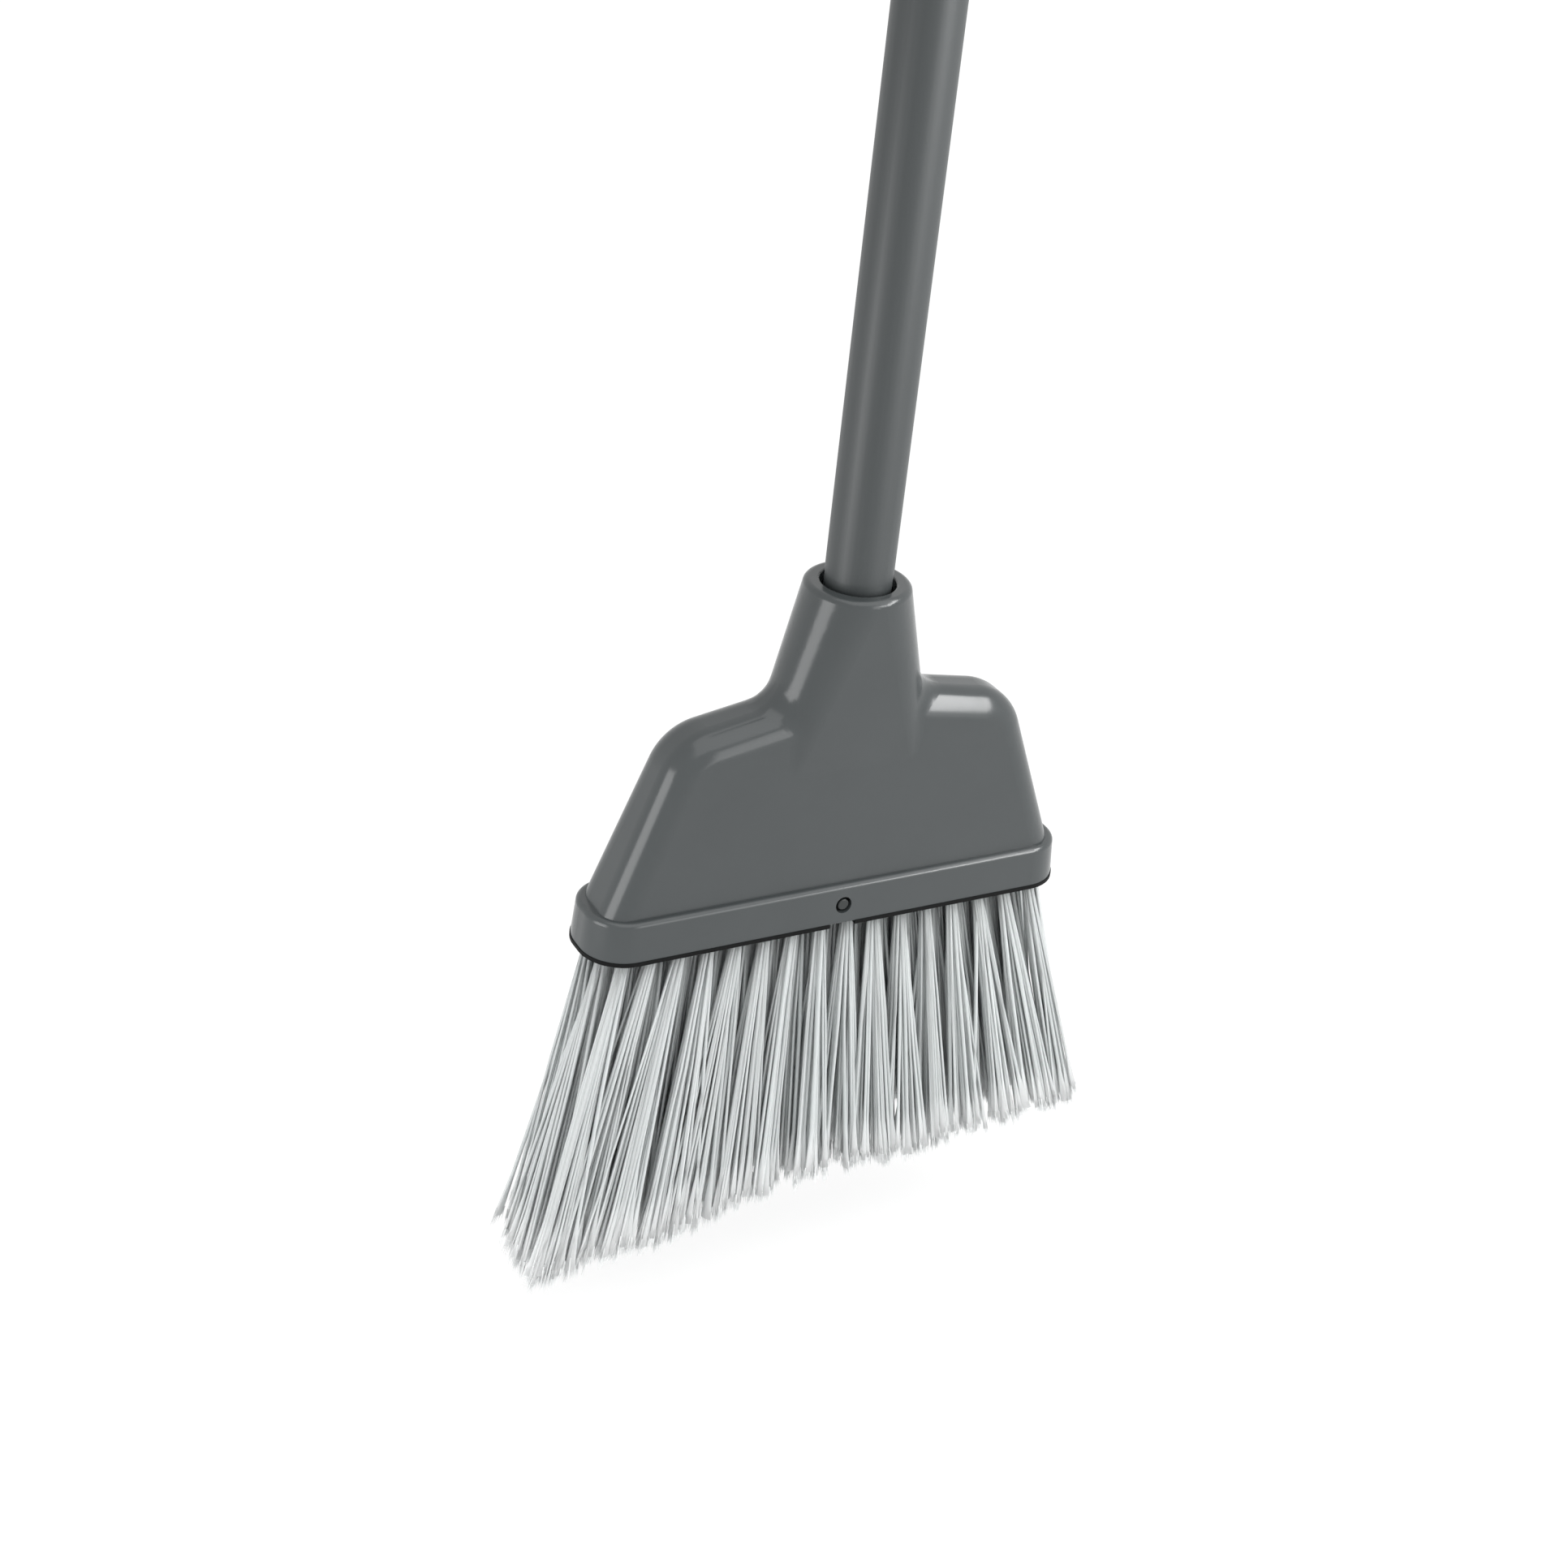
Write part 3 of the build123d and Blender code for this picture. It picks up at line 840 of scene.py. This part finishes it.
@dataclass(frozen=True)
class Softbox:
    """A rectangular lamp with an even face."""

    name: str
    centre: tuple[float, float, float]
    long_side: tuple[float, float, float]
    size: tuple[float, float]
    radiance: float
    lights: Lights = Lights.ALL
    aim: tuple[float, float, float] = HEAD_CENTRE

    def build(self) -> None:
        """Build the lamp, which the camera doesn't see."""
        lamp = bpy.data.lights.new(self.name, "AREA")
        lamp.shape = "RECTANGLE"
        lamp.size, lamp.size_y = self.size
        lamp.energy = math.pi * self.size[0] * self.size[1] * self.radiance
        back = (Vector(self.centre) - Vector(self.aim)).normalized()
        side = Vector(self.long_side)
        side = (side - side.dot(back) * back).normalized()
        lit = bpy.data.objects.new(self.name, lamp)
        turn = Matrix((side, back.cross(side), back)).transposed()
        lit.matrix_world = Matrix.Translation(self.centre) @ turn.to_4x4()
        lit.visible_camera = False
        lit.visible_diffuse = self.lights is not Lights.GLOSS
        lit.visible_glossy = self.lights is not Lights.MATT
        bpy.context.scene.collection.objects.link(lit)
        LOG.info("%s: radiance %.1f", self.name, self.radiance)


# It draws the bright strips down the left flank and the neck.
LEFT_SOFTBOX = Softbox(
    "left_softbox", (-0.42, -0.06, -1.23), (0, 1, 0), (0.21, 0.28), 3.7, aim=(0.0, -0.03, -1.22)
)
# It shows as the bright patch on the right shoulder.
RIGHT_STRIP = Softbox(
    "right_strip", (0.674, -0.579, -0.75), (0.163, 0.76, 0.63), (1.05, 0.21), 12.0, Lights.GLOSS
)
# It shows in the left shoulder and lights the front.
FRONT_SOFTBOX = Softbox("front_softbox", (0.40, -0.90, -1.10), (1, 0, 0), (0.44, 0.6), 2.2)
# It lights everything softly from above.
TOP_SOFTBOX = Softbox("top_softbox", (0.2, -0.42, -0.05), (1, 0, 0), (1.8, 1.6), 1.1)
# It lifts the right side of the cap and the bristles.
RIGHT_SOFTBOX = Softbox("right_softbox", (0.42, -0.30, -0.96), (0, 0, 1), (0.3, 0.25), 6.2, Lights.MATT)


@dataclass
class Studio:
    """The photograph's viewpoint, a pale floor and soft lamps."""

    viewpoint: tuple[float, float, float] = (-0.457885, -0.732725, -0.751194)
    right: tuple[float, float, float] = (0.88143, -0.461984, 0.098243)
    down: tuple[float, float, float] = (-0.148894, -0.469185, -0.870457)
    forward: tuple[float, float, float] = (0.448232, 0.752619, -0.482341)
    focal_pixels: float = 3200.0
    image_pixels: float = 1932.0
    sensor_mm: float = 36.0
    clip: tuple[float, float] = (0.01, 100.0)
    floor_radius: float = 9.0
    floor_segments: int = 96
    floor_gap: float = 27.0 * MM
    paper_colour: str = "#EDEDED"
    shadow_colour: str = "#8A8A8A"
    near: float = 1.5
    near_glow: float = 0.8
    far: float = 3.2
    far_glow: float = 0.94
    fill: float = 0.63
    backdrop: float = 1.0
    lamps: tuple[Softbox, ...] = (LEFT_SOFTBOX, RIGHT_STRIP, FRONT_SOFTBOX, TOP_SOFTBOX, RIGHT_SOFTBOX)

    def build_camera(self) -> None:
        """Set the camera where the photograph was taken from."""
        camera = bpy.data.cameras.new("photo_view")
        camera.sensor_width = self.sensor_mm
        camera.lens = self.focal_pixels / self.image_pixels * self.sensor_mm
        camera.clip_start, camera.clip_end = self.clip
        placed = bpy.data.objects.new("photo_view", camera)
        turn = Matrix((self.right, -Vector(self.down), -Vector(self.forward))).transposed()
        placed.matrix_world = Matrix.Translation(self.viewpoint) @ turn.to_4x4()
        bpy.context.scene.collection.objects.link(placed)
        bpy.context.scene.camera = placed

    def seen(self, tree: bpy.types.NodeTree) -> bpy.types.NodeSocket:
        """A switch that is on for what the camera, gloss and glass see.

        Args:
            tree: The node tree that gets it.

        Returns:
            The switch's output.
        """
        path = add_node(tree, "ShaderNodeLightPath")
        either = path.outputs["Is Camera Ray"]
        for ray in ("Is Glossy Ray", "Is Transmission Ray"):
            links = {0: either, 1: path.outputs[ray]}
            either = add_node(tree, "ShaderNodeMath", {"operation": "MAXIMUM"}, links).outputs[0]
        return either

    def floor_paper(self) -> bpy.types.Material:
        """Make the floor's finish: paper that looks white to the camera and in reflections.

        Its glow rises from near to far, so that the far floor joins the background.

        Returns:
            The finished material.
        """
        material = bpy.data.materials.new("white_paper_floor")
        material.use_nodes = True
        tree = material.node_tree
        tree.nodes.clear()
        paper = add_node(tree, "ShaderNodeBsdfDiffuse", {"Color": linear(self.paper_colour)})
        shaded = add_node(tree, "ShaderNodeBsdfDiffuse", {"Color": linear(self.shadow_colour)})
        place = add_node(tree, "ShaderNodeTexCoord").outputs["Object"]
        away = add_node(tree, "ShaderNodeVectorMath", {"operation": "LENGTH"}, {0: place})
        level = add_node(
            tree,
            "ShaderNodeMapRange",
            {"From Min": self.near, "From Max": self.far, "To Min": self.near_glow, "To Max": self.far_glow},
            {"Value": away.outputs["Value"]},
        )
        glow = add_node(
            tree, "ShaderNodeEmission", {"Color": linear(WHITE)}, {"Strength": level.outputs["Result"]}
        )
        white = add_node(
            tree, "ShaderNodeAddShader", links={0: shaded.outputs["BSDF"], 1: glow.outputs["Emission"]}
        )
        both = add_node(
            tree,
            "ShaderNodeMixShader",
            links={0: self.seen(tree), 1: paper.outputs["BSDF"], 2: white.outputs["Shader"]},
        )
        add_node(tree, "ShaderNodeOutputMaterial", links={"Surface": both.outputs["Shader"]})
        return material

    def build_floor(self) -> None:
        """Lay a pale floor that looks white and keeps a soft shadow.

        The broom hangs clear of it, so that the head can come down as the handle is unscrewed.
        """
        bm = bmesh.new()
        bmesh.ops.create_circle(bm, cap_ends=True, segments=self.floor_segments, radius=self.floor_radius)
        bmesh.ops.translate(bm, verts=list(bm.verts), vec=(0, 0, CAD_BOX[0].z - self.floor_gap))
        mesh = bpy.data.meshes.new("floor")
        bm.to_mesh(mesh)
        bm.free()
        floor = finished(mesh, "floor", self.floor_paper())

    def build_world(self) -> None:
        """Surround the object with soft even light and a white background."""
        world = bpy.data.worlds.new("studio")
        world.use_nodes = True
        tree = world.node_tree
        tree.nodes.clear()
        fill, white = [
            add_node(tree, "ShaderNodeBackground", {"Color": linear(WHITE), "Strength": strength})
            for strength in (self.fill, self.backdrop)
        ]
        both = add_node(
            tree,
            "ShaderNodeMixShader",
            links={0: self.seen(tree), 1: fill.outputs["Background"], 2: white.outputs["Background"]},
        )
        add_node(tree, "ShaderNodeOutputWorld", links={"Surface": both.outputs["Shader"]})
        bpy.context.scene.world = world

    def build(self) -> None:
        """Build the whole studio."""
        self.build_camera()
        self.build_floor()
        self.build_world()
        for lamp in self.lamps:
            lamp.build()
        bpy.context.scene.view_settings.view_transform = "Standard"


def main() -> None:
    """Build the object and the studio round it."""
    logging.basicConfig(level=logging.INFO, format="%(name)s: %(message)s")
    BrushHead().build()
    Handle().build()
    Studio().build()


if __name__ == "__main__":
    main()
